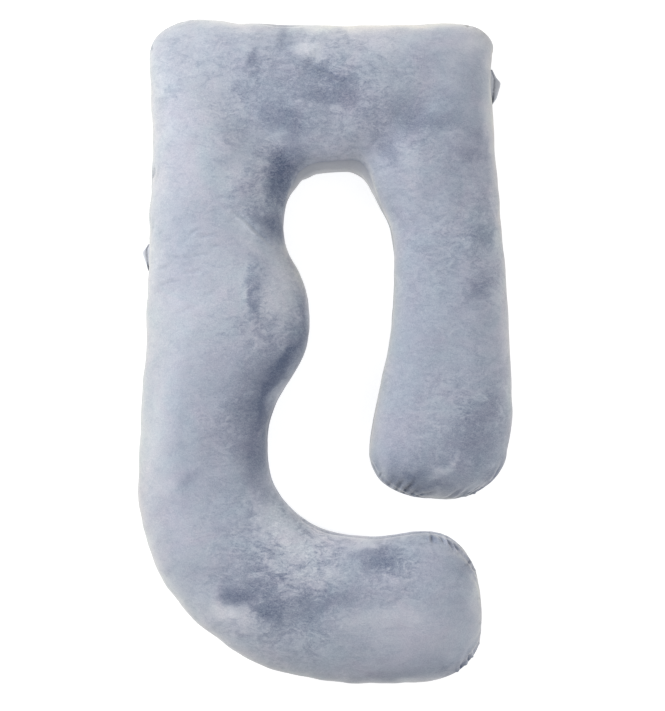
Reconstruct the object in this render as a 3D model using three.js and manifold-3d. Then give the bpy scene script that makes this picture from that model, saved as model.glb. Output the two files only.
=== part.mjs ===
// A full-body pillow for side sleepers: one long stuffed tube of two cloth panels, sewn together round
// the edge.
// It lies on its back, seen in plan along -Z: a long leg on the left that bulges at the belly and curls
// to the right into a foot, a crossbar for the head along the top, and a short leg on the right.
// Millimetres, +Z up, +Y towards the head, with the origin on the ground under the middle of the pillow.

import * as THREE from 'three';
import { LoftGeometry } from 'three/addons/geometries/LoftGeometry.js';
import { mergeVertices } from 'three/addons/utils/BufferGeometryUtils.js';
import Module from 'manifold-3d';

// ---------------------------------------------------------------- driving dimensions

const SEAM_HEIGHT = 90;        // the edge seam runs about half-way up the filled sides
const SEAM_PULL = 5;           // how far the seam draws the cloth in
const CUSHION_POWER = 2.3;     // roundness of a section: 2 is an ellipse, more is squarer
const FLOOR_PRESS = 0.26;      // how much of the underside the weight presses flat
const MOST_SEAM_RISE = 0.9;    // the inner seam stays under this share of the way up to the crown
const RING_POINTS = 36;        // points round one section
const WIDEST_ANGLE = Math.PI * 2 / RING_POINTS;   // the points beside the seam stand out furthest
const RING_PITCH = 33;         // wanted distance between sections along the outer edge

// The sections of the tube, from the short leg's tip, round the crossbar and down to the foot.
// inner and outer are the two ends of a section in plan, crown is the height of its top,
// and innerSeam the height of the seam on the sleeper's side, which rides up under the crossbar.
const SECTIONS = [
	// short leg, upwards
	{ inner: [ 97, - 215 ], outer: [ 399, - 215 ], crown: 186, innerSeam: 90 },
	{ inner: [ 108, - 137 ], outer: [ 411, - 144 ], crown: 190, innerSeam: 90 },
	{ inner: [ 125, - 49 ], outer: [ 410, - 56 ], crown: 188, innerSeam: 90 },
	{ inner: [ 142, 39 ], outer: [ 404, 33 ], crown: 182, innerSeam: 90 },
	{ inner: [ 152, 127 ], outer: [ 398, 125 ], crown: 176, innerSeam: 90 },
	{ inner: [ 152, 205 ], outer: [ 392, 214 ], crown: 174, innerSeam: 90 },
	{ inner: [ 144, 266 ], outer: [ 385, 304 ], crown: 175, innerSeam: 90 },
	{ inner: [ 132, 300 ], outer: [ 377, 392 ], crown: 178, innerSeam: 90 },
	// right shoulder and corner
	{ inner: [ 116, 333 ], outer: [ 370, 474 ], crown: 182, innerSeam: 95 },
	{ inner: [ 102, 361 ], outer: [ 366, 558 ], crown: 184, innerSeam: 109 },
	{ inner: [ 88, 381 ], outer: [ 366, 625 ], crown: 182, innerSeam: 119 },
	{ inner: [ 76, 391 ], outer: [ 366, 678 ], crown: 179, innerSeam: 126 },
	{ inner: [ 63, 397 ], outer: [ 343, 705 ], crown: 179, innerSeam: 131 },
	// crossbar
	{ inner: [ 50, 400 ], outer: [ 280, 722 ], crown: 182, innerSeam: 133 },
	{ inner: [ 33, 400 ], outer: [ 176, 719 ], crown: 186, innerSeam: 134 },
	{ inner: [ 13, 399 ], outer: [ 44, 716 ], crown: 188, innerSeam: 134 },
	{ inner: [ - 7, 397 ], outer: [ - 89, 719 ], crown: 188, innerSeam: 134 },
	{ inner: [ - 24, 394 ], outer: [ - 206, 726 ], crown: 186, innerSeam: 131 },
	// left corner and shoulder
	{ inner: [ - 39, 387 ], outer: [ - 285, 730 ], crown: 182, innerSeam: 126 },
	{ inner: [ - 54, 381 ], outer: [ - 340, 715 ], crown: 179, innerSeam: 117 },
	{ inner: [ - 64, 367 ], outer: [ - 376, 686 ], crown: 179, innerSeam: 108 },
	{ inner: [ - 75, 352 ], outer: [ - 385, 651 ], crown: 183, innerSeam: 99 },
	{ inner: [ - 84, 333 ], outer: [ - 382, 562 ], crown: 187, innerSeam: 92 },
	{ inner: [ - 89, 308 ], outer: [ - 378, 470 ], crown: 187, innerSeam: 90 },
	// long leg, downwards, with the belly
	{ inner: [ - 91, 278 ], outer: [ - 380, 381 ], crown: 184, innerSeam: 90 },
	{ inner: [ - 87, 242 ], outer: [ - 386, 304 ], crown: 184, innerSeam: 90 },
	{ inner: [ - 72, 204 ], outer: [ - 388, 227 ], crown: 187, innerSeam: 90 },
	{ inner: [ - 49, 158 ], outer: [ - 390, 152 ], crown: 192, innerSeam: 90 },
	{ inner: [ - 36, 94 ], outer: [ - 392, 77 ], crown: 196, innerSeam: 90 },
	{ inner: [ - 38, 22 ], outer: [ - 393, 6 ], crown: 196, innerSeam: 90 },
	{ inner: [ - 62, - 34 ], outer: [ - 398, - 51 ], crown: 194, innerSeam: 90 },
	{ inner: [ - 98, - 87 ], outer: [ - 402, - 104 ], crown: 191, innerSeam: 90 },
	{ inner: [ - 122, - 146 ], outer: [ - 406, - 170 ], crown: 188, innerSeam: 90 },
	{ inner: [ - 128, - 210 ], outer: [ - 410, - 250 ], crown: 187, innerSeam: 90 },
	// curl and foot
	{ inner: [ - 117, - 281 ], outer: [ - 409, - 325 ], crown: 189, innerSeam: 92 },
	{ inner: [ - 84, - 334 ], outer: [ - 391, - 406 ], crown: 192, innerSeam: 95 },
	{ inner: [ - 42, - 371 ], outer: [ - 354, - 504 ], crown: 194, innerSeam: 97 },
	{ inner: [ 4, - 393 ], outer: [ - 267, - 602 ], crown: 194, innerSeam: 97 },
	{ inner: [ 55, - 403 ], outer: [ - 150, - 682 ], crown: 192, innerSeam: 95 },
	{ inner: [ 110, - 407 ], outer: [ - 12, - 716 ], crown: 190, innerSeam: 92 },
	{ inner: [ 161, - 402 ], outer: [ 110, - 725 ], crown: 188, innerSeam: 90 },
	{ inner: [ 191, - 398 ], outer: [ 205, - 722 ], crown: 186, innerSeam: 90 },
];

// The two closed ends. reach is how far the end goes past the table's last section, lean how far its
// point lies from the middle towards the outer edge, and innerPower and outerPower how square its two
// shoulders are in plan: 2 is an ellipse. pleats are the depths of the gathers over the end, from the
// outer edge to the inner one.
const SHORT_LEG_TIP = {
	reach: 107, lean: 15, innerPower: 2.3, outerPower: 1.97,
	pleats: [ 3, 5, 3, 2, 4, 3, 6, 4, 3 ],
};
const FOOT_TIP = {
	reach: 145, lean: 32, innerPower: 2.85, outerPower: 2.3,
	pleats: [ 4, 5, 3, 2, 3, 2, 4, 6, 4 ],
};
const TIP_RINGS = 8;
const TIP_LAST_ANGLE = THREE.MathUtils.degToRad( 85 );

// The cloth tabs caught in the outer seam: folded double, with the fold outwards.
const TAB_LAYER = 2;
const TAB_FOLD_GAP = 1.4;
const TAB_ROOT = 50;           // length of the strip behind its fold before it is trimmed to the pillow's side
const TAB_STEPS = 18;
const SEAT_GAP = 0.3;          // clearance between a tab and the pillow
const WELD_DISTANCE = 1e-3;

// A tab is pulled out to a rounded corner, and its fold slopes from there to a heel near its lower end.
// corner and heel are shares of the tab's height, and outstand is how far the corner stands out.
const TABS = [
	{ name: 'tab_right', side: 1, rootX: 366, bottom: 546, top: 624, outstand: 21, corner: 0.62, heel: 0.19 },
	{ name: 'tab_left', side: - 1, rootX: 390, bottom: 180, top: 239, outstand: 15, corner: 0.7, heel: 0.37 },
];
const HEEL_OUT = 0.56;         // share of the outstand that the heel has

// ---------------------------------------------------------------- materials

const velvet = new THREE.MeshStandardMaterial( { color: 0x9aa6ba, roughness: 0.9, metalness: 0 } );
const tabCloth = new THREE.MeshStandardMaterial( { color: 0x7d879a, roughness: 0.9, metalness: 0 } );

// ---------------------------------------------------------------- sections of the pillow

const bow = ( value, power ) => Math.sign( value ) * Math.abs( value ) ** power;
const widest = bow( Math.cos( WIDEST_ANGLE ), 2 / CUSHION_POWER );

// One closed ring of points, wound so that the tube's faces look outwards. fullness runs from 1 on the
// open tube to 0 at the point of an end.
function ring( { inner, outer, crown, innerSeam, fullness = 1, pleats = null } ) {

	const centre = inner.clone().add( outer ).multiplyScalar( 0.5 );
	const reach = outer.clone().sub( inner ).multiplyScalar( 0.5 );
	const halfWidth = reach.length();
	const rise = ( crown - SEAM_HEIGHT ) * fullness;
	const seamRise = THREE.MathUtils.clamp( ( innerSeam - SEAM_HEIGHT ) / rise, 0, MOST_SEAM_RISE );
	const seamAngle = Math.asin( seamRise );
	const points = [];

	for ( let i = 0; i < RING_POINTS; i ++ ) {

		// the angle runs from the outer seam, over the crown, to the inner seam and back underneath
		const even = i / RING_POINTS * Math.PI * 2;
		const innerShare = Math.max( 0, - Math.cos( even ) ) ** 2;
		const angle = even - seamAngle * innerShare;
		const across = THREE.MathUtils.clamp( bow( Math.cos( angle ), 2 / CUSHION_POWER ) / widest, - 1, 1 );
		const upwards = bow( Math.sin( angle ), 2 / CUSHION_POWER );

		// every second point of an end is gathered in, most half-way round it
		let draw = 0;
		if ( i === 0 || i === RING_POINTS / 2 ) draw = SEAM_PULL;
		if ( pleats && i % 2 === 1 ) {

			const fold = i < RING_POINTS / 2 ? ( i - 1 ) / 2 : ( RING_POINTS - 1 - i ) / 2;
			draw = pleats[ fold ] * Math.sin( Math.PI * fullness );

		}

		const width = Math.max( halfWidth - draw, halfWidth / 2 ) / halfWidth;
		const plan = reach.clone().multiplyScalar( across * width ).add( centre );
		const height = upwards > 0
			? SEAM_HEIGHT + Math.max( rise - draw, rise / 2 ) * upwards
			: SEAM_HEIGHT * ( 1 - Math.min( 1, - upwards * ( 1 + FLOOR_PRESS ) * fullness ) );
		points.push( new THREE.Vector3( plan.x, plan.y, height ) );

	}

	return points.reverse();

}

// A smooth curve through one column of the table, read at the same place as all the others.
function columnCurve( pick ) {

	const points = SECTIONS.map( ( row ) => new THREE.Vector3( ...pick( row ), 0 ) );
	return new THREE.CatmullRomCurve3( points, false, 'centripetal' );

}

function tubeRings() {

	const innerEdge = columnCurve( ( row ) => row.inner );
	const outerEdge = columnCurve( ( row ) => row.outer );
	const heights = columnCurve( ( row ) => [ row.crown, row.innerSeam ] );
	const spans = SECTIONS.length - 1;
	const rings = [];

	for ( let i = 0; i < spans; i ++ ) {

		const length = Math.max(
			innerEdge.points[ i ].distanceTo( innerEdge.points[ i + 1 ] ),
			outerEdge.points[ i ].distanceTo( outerEdge.points[ i + 1 ] )
		);
		const steps = Math.max( 1, Math.round( length / RING_PITCH ) );
		const last = i === spans - 1 ? steps : steps - 1;

		for ( let step = 0; step <= last; step ++ ) {

			const at = ( i + step / steps ) / spans;
			const height = heights.getPoint( at );
			rings.push( ring( {
				inner: innerEdge.getPoint( at ),
				outer: outerEdge.getPoint( at ),
				crown: height.x,
				innerSeam: height.y,
			} ) );

		}

	}

	return rings;

}

// The rings of one closed end, from the first past the tube to the small last one. turn is 1 or -1:
// it turns the outward half of the section into the way that the end points.
function tipRings( row, tip, turn ) {

	const inner = new THREE.Vector3( ...row.inner, 0 );
	const outer = new THREE.Vector3( ...row.outer, 0 );
	const centre = inner.clone().add( outer ).multiplyScalar( 0.5 );
	const halfWidth = inner.distanceTo( outer ) / 2;
	const sideways = outer.clone().sub( inner ).normalize();
	const onwards = new THREE.Vector3( - sideways.y * turn, sideways.x * turn, 0 );
	const rings = [];

	// the outline's distance from the end's own axis, as a share of its distance at the start
	const narrowed = ( along, power ) => ( 1 - along ** power ) ** ( 1 / power );

	for ( let i = 1; i <= TIP_RINGS; i ++ ) {

		const along = Math.sin( i / TIP_RINGS * TIP_LAST_ANGLE );
		const innerReach = ( halfWidth + tip.lean ) * narrowed( along, tip.innerPower );
		const outerReach = ( halfWidth - tip.lean ) * narrowed( along, tip.outerPower );
		const onAxis = centre.clone()
			.addScaledVector( onwards, tip.reach * along )
			.addScaledVector( sideways, tip.lean );
		rings.push( ring( {
			inner: onAxis.clone().addScaledVector( sideways, - innerReach ),
			outer: onAxis.clone().addScaledVector( sideways, outerReach ),
			crown: row.crown,
			innerSeam: row.innerSeam,
			fullness: Math.sqrt( 1 - along ** 2 ),
			pleats: tip.pleats,
		} ) );

	}

	return rings;

}

// The same surface with positions only, and each shared corner stored once.
function weld( geometry ) {

	const bare = new THREE.BufferGeometry();
	bare.setAttribute( 'position', geometry.attributes.position );
	bare.setIndex( geometry.index );
	return mergeVertices( bare, WELD_DISTANCE );

}

function pillowGeometry() {

	const start = tipRings( SECTIONS[ 0 ], SHORT_LEG_TIP, - 1 ).reverse();
	const end = tipRings( SECTIONS[ SECTIONS.length - 1 ], FOOT_TIP, 1 );
	const rings = [ ...start, ...tubeRings(), ...end ];
	return weld( new LoftGeometry( rings, { capStart: true, capEnd: true } ) );

}

// ---------------------------------------------------------------- cloth tabs

// How far the tab's fold stands out at each height, both as shares, from its lower end to its upper one.
function tabEdge( tab ) {

	return [
		{ up: 0, out: 0 },
		{ up: tab.heel, out: HEEL_OUT },
		{ up: tab.corner - 0.07, out: 0.96 },
		{ up: tab.corner, out: 1 },
		{ up: tab.corner + 0.05, out: 0.88 },
		{ up: tab.corner + 0.13, out: 0.55 },
		{ up: 1, out: 0 },
	];

}

function outAt( edge, up ) {

	const next = Math.max( 1, edge.findIndex( ( point ) => point.up >= up - 1e-6 ) );
	const [ from, to ] = [ edge[ next - 1 ], edge[ next ] ];
	return THREE.MathUtils.mapLinear( up, from.up, to.up, from.out, to.out );

}

// A strip folded double, standing out of the seam: its profile in the upright plane across the seam,
// drawn out along the seam with its fold following the tab's edge.
function foldedStrip( tab ) {

	const outer = TAB_LAYER + TAB_FOLD_GAP / 2;
	const inner = TAB_FOLD_GAP / 2;
	const profile = new THREE.Shape();
	profile.moveTo( - TAB_ROOT, - outer );
	profile.lineTo( - outer, - outer );
	profile.absarc( - outer, 0, outer, - Math.PI / 2, Math.PI / 2, false );
	profile.lineTo( - TAB_ROOT, outer );
	profile.lineTo( - TAB_ROOT, inner );
	profile.lineTo( - outer, inner );
	profile.absarc( - outer, 0, inner, Math.PI / 2, - Math.PI / 2, true );
	profile.lineTo( - TAB_ROOT, - inner );
	profile.closePath();
	const height = tab.top - tab.bottom;
	const strip = new THREE.ExtrudeGeometry( profile, {
		depth: height,
		steps: TAB_STEPS,
		bevelEnabled: false,
		curveSegments: 4,
	} );
	strip.rotateX( Math.PI / 2 ).translate( 0, height, 0 );

	const edge = tabEdge( tab );
	const position = strip.attributes.position;
	for ( let i = 0; i < position.count; i ++ ) {

		const out = tab.outstand * outAt( edge, position.getY( i ) / height );
		position.setX( i, position.getX( i ) + out );

	}
	return strip.translate( 0, tab.bottom, 0 );

}

const wasm = await Module();
wasm.setup();

function toSolid( geometry ) {

	return new wasm.Manifold( new wasm.Mesh( {
		numProp: 3,
		vertProperties: new Float32Array( geometry.attributes.position.array ),
		triVerts: new Uint32Array( geometry.index.array ),
	} ) );

}

function toGeometry( solid ) {

	const mesh = solid.getMesh();
	const geometry = new THREE.BufferGeometry();
	geometry.setAttribute( 'position', new THREE.BufferAttribute( mesh.vertProperties, 3 ) );
	geometry.setIndex( new THREE.BufferAttribute( mesh.triVerts, 1 ) );
	geometry.computeVertexNormals();
	return geometry;

}

function tabGeometry( tab, pillow ) {

	const strip = foldedStrip( tab ).translate( tab.rootX, 0, 0 );
	if ( tab.side < 0 ) strip.rotateY( Math.PI );
	strip.translate( 0, 0, SEAM_HEIGHT );
	const clearance = pillow.translate( [ tab.side * SEAT_GAP, 0, 0 ] );
	return toGeometry( toSolid( weld( strip ) ).subtract( clearance ) );

}

// ---------------------------------------------------------------- the part

function namedMesh( name, geometry, material ) {

	const mesh = new THREE.Mesh( geometry, material );
	mesh.name = name;
	return mesh;

}

const bodyPillow = new THREE.Group();
const pillowBody = pillowGeometry();
const pillowSolid = toSolid( pillowBody );
bodyPillow.add( namedMesh( 'pillow_body', pillowBody, velvet ) );
for ( const tab of TABS ) bodyPillow.add( namedMesh( tab.name, tabGeometry( tab, pillowSolid ), tabCloth ) );

// the origin is under the middle of the pillow's box
const middle = new THREE.Box3().setFromObject( bodyPillow ).getCenter( new THREE.Vector3() );
bodyPillow.position.set( - middle.x, - middle.y, 0 );

export default bodyPillow;
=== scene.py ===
"""A full-body pillow in short plush: the stuffed cover, its two cloth tabs and the studio it lies in."""

import math
from collections import namedtuple

import bmesh
import bpy
import numpy as np
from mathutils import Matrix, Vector, kdtree, noise


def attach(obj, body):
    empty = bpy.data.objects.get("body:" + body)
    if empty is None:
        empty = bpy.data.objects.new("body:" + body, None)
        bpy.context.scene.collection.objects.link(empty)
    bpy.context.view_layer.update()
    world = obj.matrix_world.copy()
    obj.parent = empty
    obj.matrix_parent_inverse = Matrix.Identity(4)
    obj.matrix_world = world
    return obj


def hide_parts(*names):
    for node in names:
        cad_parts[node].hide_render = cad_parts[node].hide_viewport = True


bl_info = {
    "name": "Body pillow",
    "version": (1, 0, 0),
    "blender": (4, 5, 0),
    "location": "3D View > Sidebar > Pillow",
    "description": "Makes a stuffed full-body pillow with a plush cover, its tabs and a plain studio",
    "category": "Mesh",
}

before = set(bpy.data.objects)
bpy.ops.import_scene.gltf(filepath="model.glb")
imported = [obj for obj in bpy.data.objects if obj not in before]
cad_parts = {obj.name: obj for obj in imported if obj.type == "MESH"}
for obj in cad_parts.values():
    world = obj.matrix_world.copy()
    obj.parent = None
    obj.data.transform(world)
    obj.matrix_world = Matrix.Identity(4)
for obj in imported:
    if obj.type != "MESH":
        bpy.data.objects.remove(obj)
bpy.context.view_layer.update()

MM = 0.001
SEAM_HEIGHT = 0.090
FLOOR_REACH = 40.0      # half the length of the floor's side


# ---------------------------------------------------------------- sizes and colours


class CoverSettings(bpy.types.PropertyGroup):
    """Sizes and colours of the stuffed cover."""

    slack: bpy.props.FloatProperty(
        name="Slack", description="How far the cover is taken in before the filling presses it out",
        default=0.006, min=0.0, unit="LENGTH")
    filling_pressure: bpy.props.FloatProperty(
        name="Filling pressure", description="How hard the filling presses the cloth out", default=4.0)
    seam_shrink: bpy.props.FloatProperty(
        name="Seam shrink", description="Share by which the thread gathers the cloth along the seam",
        default=0.05, min=0.0, max=0.5, subtype="FACTOR")
    most_move: bpy.props.FloatProperty(
        name="Most move", description="How far the filling may move a point of the cloth",
        default=0.014, min=0.0, unit="LENGTH")
    fold_gain: bpy.props.FloatProperty(
        name="Fold gain", description="How much of the simulated folds is kept",
        default=1.0, min=0.0, subtype="FACTOR")
    lump_height: bpy.props.FloatProperty(
        name="Lump height", description="Height of the soft lumps of filling",
        default=0.0030, min=0.0, unit="LENGTH")
    groove_depth: bpy.props.FloatProperty(
        name="Groove depth", description="How deep the seam lies between its two panels",
        default=0.0045, min=0.0, unit="LENGTH")
    groove_width: bpy.props.FloatProperty(
        name="Groove width", description="Half the width of the seam's groove",
        default=0.006, min=0.001, unit="LENGTH")
    dark_pile: bpy.props.FloatVectorProperty(
        name="Dark pile", description="Colour of the pile where it leans towards the eye",
        default=(0.073, 0.103, 0.184), size=3, subtype="COLOR")
    mid_pile: bpy.props.FloatVectorProperty(
        name="Mid pile", description="Colour of the pile where it stands up",
        default=(0.340, 0.373, 0.457), size=3, subtype="COLOR")
    light_pile: bpy.props.FloatVectorProperty(
        name="Light pile", description="Colour of the pile where it is brushed away from the eye",
        default=(0.630, 0.646, 0.696), size=3, subtype="COLOR")
    bloom: bpy.props.FloatProperty(
        name="Bloom", description="Strength of the pale rim that short pile shows at a grazing angle",
        default=0.68, min=0.0, max=1.0, subtype="FACTOR")


class TabSettings(bpy.types.PropertyGroup):
    """Sizes and colours of the two cloth tabs in the outer seam."""

    cloth: bpy.props.FloatProperty(
        name="Cloth", description="Thickness of one layer of the tab", default=0.0016, min=0.0, unit="LENGTH")
    # painted light: the tab's colours are lighter than the cover's pile, the same cloth, to make up for the
    # light the body keeps off the tab
    colour: bpy.props.FloatVectorProperty(
        name="Colour", description="Colour of the tab's cloth",
        default=(0.50, 0.52, 0.57), size=3, subtype="COLOR")
    edge_colour: bpy.props.FloatVectorProperty(
        name="Edge colour", description="Colour of the worn fold at the tab's edge",
        default=(0.68, 0.69, 0.71), size=3, subtype="COLOR")
    # painted shade deep in the tab's crease and its mouth
    crease_shade_colour: bpy.props.FloatVectorProperty(
        name="Crease colour", description="Colour deep in the tab's crease and mouth",
        default=(0.075, 0.085, 0.115), size=3, subtype="COLOR")


class StudioSettings(bpy.types.PropertyGroup):
    """The camera, the lights and the floor."""

    camera_height: bpy.props.FloatProperty(
        name="Camera height", description="Height of the camera over the floor",
        default=2.9, unit="LENGTH")
    view_length: bpy.props.FloatProperty(
        name="View length", description="Length that the view's long side takes in, at the seam's height",
        default=1.569, unit="LENGTH")
    view_centre: bpy.props.FloatVectorProperty(
        name="View centre", description="Point on the floor under the middle of the view",
        default=(0.0154, -0.0086), size=2, subtype="XYZ")
    floor_colour: bpy.props.FloatVectorProperty(
        name="Floor colour", description="Colour of the pale floor",
        default=(0.50, 0.50, 0.50), size=3, subtype="COLOR")
    floor_glow: bpy.props.FloatProperty(
        name="Floor glow", description="Light that the lit floor gives off by itself",
        default=0.74, min=0.0)
    key_power: bpy.props.FloatProperty(
        name="Key light", description="Power of the large light from the upper left",
        default=110.0, unit="POWER")
    fill_power: bpy.props.FloatProperty(
        name="Fill light", description="Power of the soft light from above", default=26.0, unit="POWER")
    side_power: bpy.props.FloatProperty(
        name="Side light", description="Power of the low light from the right", default=17.0, unit="POWER")
    sky_strength: bpy.props.FloatProperty(
        name="Sky", description="Strength of the even light from all round", default=0.45, min=0.0)


# ---------------------------------------------------------------- shader maths


class Tone:
    """A value in a material that sums and products can be written with."""

    def __init__(self, tree, socket):
        self.tree = tree
        self.socket = socket

    def _maths(self, operation, first, second, clamp=False):
        node = self.tree.nodes.new("ShaderNodeMath")
        node.operation = operation
        node.use_clamp = clamp
        for place, value in zip(node.inputs, (first, second)):
            if isinstance(value, Tone):
                self.tree.links.new(value.socket, place)
            else:
                place.default_value = value
        return Tone(self.tree, node.outputs[0])

    def __add__(self, other):
        return self._maths("ADD", self, other)

    def __radd__(self, other):
        return self._maths("ADD", other, self)

    def __sub__(self, other):
        return self._maths("SUBTRACT", self, other)

    def __rsub__(self, other):
        return self._maths("SUBTRACT", other, self)

    def __mul__(self, other):
        return self._maths("MULTIPLY", self, other)

    def __rmul__(self, other):
        return self._maths("MULTIPLY", other, self)

    def clamped(self):
        return self._maths("ADD", self, 0.0, clamp=True)


class Finish:
    """A new material, with one method that adds any node to it."""

    def __init__(self, name):
        self.material = bpy.data.materials.new(name)
        self.material.use_nodes = True
        self.tree = self.material.node_tree
        self.tree.nodes.clear()

    def add(self, kind, settings=None, inputs=None, output=0):
        """Adds a node: its settings first, then the values or links of its sockets."""
        node = self.tree.nodes.new(kind)
        for key, value in (settings or {}).items():
            if key == "stops":
                self._set_stops(node.color_ramp, value)
            else:
                setattr(node, key, value)
        for key, value in (inputs or {}).items():
            place = node.inputs[key]
            if isinstance(value, Tone):
                self.tree.links.new(value.socket, place)
            elif isinstance(value, tuple) and place.type == "RGBA":
                place.default_value = (*value, 1.0)
            else:
                place.default_value = value
        return Tone(self.tree, node.outputs[output])

    def _set_stops(self, ramp, stops):
        while len(ramp.elements) < len(stops):
            ramp.elements.new(0.5)
        for element, (position, colour) in zip(ramp.elements, stops):
            element.position = position
            element.color = (*colour, 1.0)

    def attribute(self, name):
        """A value that is kept at each point of the mesh."""
        return self.add("ShaderNodeAttribute", {"attribute_name": name}, output=2)

    def noise(self, vector, scale, detail=2.0, roughness=0.5, distortion=0.0):
        """Soft random values round 0, in metres of the piece."""
        value = self.add(
            "ShaderNodeTexNoise", {"noise_dimensions": "3D"},
            {"Vector": vector, "Scale": scale, "Detail": detail, "Roughness": roughness,
             "Distortion": distortion})
        return value - 0.5

    def turned(self, vector, heading, scale):
        """The piece's own places, turned in plan and stretched."""
        return self.add("ShaderNodeMapping", {}, {
            "Vector": vector, "Rotation": (0.0, 0.0, math.radians(heading)), "Scale": scale})

    def shades(self, lean, dark, mid, light):
        """Runs from a dark colour at 0 over a middle one to a light one at 1."""
        stops = [(0.0, dark), (0.5, mid), (1.0, light)]
        return self.add("ShaderNodeValToRGB", {"stops": stops}, {"Fac": lean.clamped()})

    def mix(self, factor, first, second, blend="MIX"):
        """Mixes two colours."""
        node = self.tree.nodes.new("ShaderNodeMix")
        node.data_type = "RGBA"
        node.blend_type = blend
        for place, value in ((node.inputs[0], factor), (node.inputs[6], first), (node.inputs[7], second)):
            if isinstance(value, Tone):
                self.tree.links.new(value.socket, place)
            elif isinstance(value, tuple):
                place.default_value = (*value, 1.0)
            else:
                place.default_value = value
        return Tone(self.tree, node.outputs[2])

    def plush(self, colour, relief, depth, bloom, spread):
        """Dull cloth with a pale bloom at a grazing angle and a fine relief of some depth."""
        normal = self.add("ShaderNodeBump", {}, {"Strength": 0.4, "Distance": depth, "Height": relief})
        return self.surface(self.add("ShaderNodeBsdfPrincipled", {}, {
            "Base Color": colour, "Roughness": 0.92, "Normal": normal, "Specular IOR Level": 0.12,
            "Sheen Weight": bloom, "Sheen Roughness": spread, "Sheen Tint": (1.0, 0.985, 0.955)}))

    def surface(self, shader):
        out = self.tree.nodes.new("ShaderNodeOutputMaterial")
        self.tree.links.new(shader.socket, out.inputs["Surface"])
        return self.material


def plush_finish(cover):
    """Short crushed plush: a cloudy, brushed pile with painted light and shade in it, fine pile and a pale
    rim, with painted rim light, painted shading in its folds, painted light under the arch and painted shade
    along the seam.
    """
    finish = Finish("plush")
    place = finish.add("ShaderNodeTexCoord", output=3)
    nap = finish.attribute("nap")
    crushed = finish.attribute("crushed")
    parted = finish.attribute("parted")
    sideways = finish.attribute("sideways")
    seam = finish.attribute("seam")
    archway = finish.attribute("archway")
    under = finish.attribute("under_panel")

    # marks of a hand drawn over the pile, now this way and now that, most where the plush is crushed
    choice = (finish.noise(place, 11.0, 2.0, 0.5, 0.4) * 6.0 + 0.5).clamped()
    marks, strands = 0.0, 0.0
    for heading, share in ((-22, 1.0 - choice), (63, choice)):
        way = finish.turned(place, heading, (1.0, 1.7, 1.0))
        marks = marks + finish.noise(way, 30.0, 7.0, 0.66, 1.3) * share
        strands = strands + finish.noise(way, 150.0, 4.0, 0.7, 0.9) * share
    edged = ((marks + nap * 0.32) * 9.0 + 0.5).clamped() - 0.5
    clouds = finish.noise(place, 8.0, 3.0, 0.55, 0.6)
    grain = finish.noise(place, 430.0, 2.0, 0.7)
    rough = 0.45 + crushed * 1.05
    # painted fold shading: darker in the creases, lighter on the ridges
    lean = 0.505 + nap * 0.43 + clouds * 0.13 + grain * 0.5 - parted * 0.05
    lean = lean + (marks * 0.35 + strands * 0.66) * rough + edged * (0.03 + crushed * 0.13)
    colour = finish.shades(lean, cover.dark_pile, cover.mid_pile, cover.light_pile)

    # the dye reads a little greener or more violet as the pile turns
    hue = (finish.noise(place, 9.0, 5.0, 0.65, 1.2) * 2.4 + 0.5).clamped()
    tinted = finish.mix(hue, (0.95, 1.012, 1.01), (1.04, 0.983, 1.01))
    colour = finish.mix(1.0, colour, tinted, "MULTIPLY")
    # painted rim light: the sides and the upper left are cast towards cream, as short pile looks where light
    # grazes it
    colour = finish.mix((sideways * (0.85 + nap * 0.9)).clamped(), colour, (1.06, 1.0, 0.83), "MULTIPLY")
    # painted light: the lower panel under the arch is lightened towards pale grey, most near the seam, where
    # it lies in shade
    colour = finish.mix(under * archway * 0.8, colour, (0.375, 0.389, 0.430))
    # painted shade along the seam's groove
    colour = finish.mix(seam * 0.35, colour, tuple(cover.dark_pile))

    relief = grain * 0.3 + strands * 0.9 + marks * 1.3
    return finish.plush(colour, relief, 2.0 * MM, cover.bloom, 0.6)


def tab_finish(tabs):
    """The tab's plush: painted shade in its crease and its mouth, and paler along the fold."""
    finish = Finish("tab_plush")
    place = finish.add("ShaderNodeTexCoord", output=3)
    shade = finish.attribute("shade")
    strands = finish.noise(place, 210.0, 3.0, 0.6, 0.5)
    grain = finish.noise(place, 800.0, 2.0, 0.6)
    lean = 0.5 + shade * 0.5 + strands * 0.4 + grain * 0.25
    colour = finish.shades(lean, tabs.crease_shade_colour, tabs.colour, tabs.edge_colour)
    return finish.plush(colour, strands + grain * 0.5, 1.2 * MM, 0.6, 0.5)


def plain_finish(name, colour, glow):
    """An even matt finish that may give off a little light."""
    finish = Finish(name)
    shader = finish.add("ShaderNodeBsdfPrincipled", {}, {
        "Base Color": colour, "Roughness": 0.9, "Specular IOR Level": 0.1,
        "Emission Color": (1.0, 1.0, 1.0), "Emission Strength": glow})
    return finish.surface(shader)


# ---------------------------------------------------------------- mesh helpers

SIZE_ROUNDS = 2         # how often keep_size corrects its points


def new_piece(name, bm, material):
    """A new object at the origin from a bmesh."""
    mesh = bpy.data.meshes.new(name)
    bm.to_mesh(mesh)
    bm.free()
    piece = bpy.data.objects.new(name, mesh)
    bpy.context.scene.collection.objects.link(piece)
    mesh.materials.append(material)
    mesh.polygons.foreach_set("use_smooth", [True] * len(mesh.polygons))
    return piece


def bake_modifiers(piece):
    """Makes what the modifiers show the piece's own mesh."""
    graph = bpy.context.evaluated_depsgraph_get()
    shown = piece.evaluated_get(graph)
    mesh = bpy.data.meshes.new_from_object(shown, preserve_all_data_layers=True, depsgraph=graph)
    piece.modifiers.clear()
    old = piece.data
    piece.data = mesh
    bpy.data.meshes.remove(old)
    mesh.name = piece.name


def subdivide(piece, times=1):
    """Rounds the piece by dividing every face."""
    rounder = piece.modifiers.new("Rounding", "SUBSURF")
    rounder.levels = times
    rounder.render_levels = times
    bake_modifiers(piece)


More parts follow.
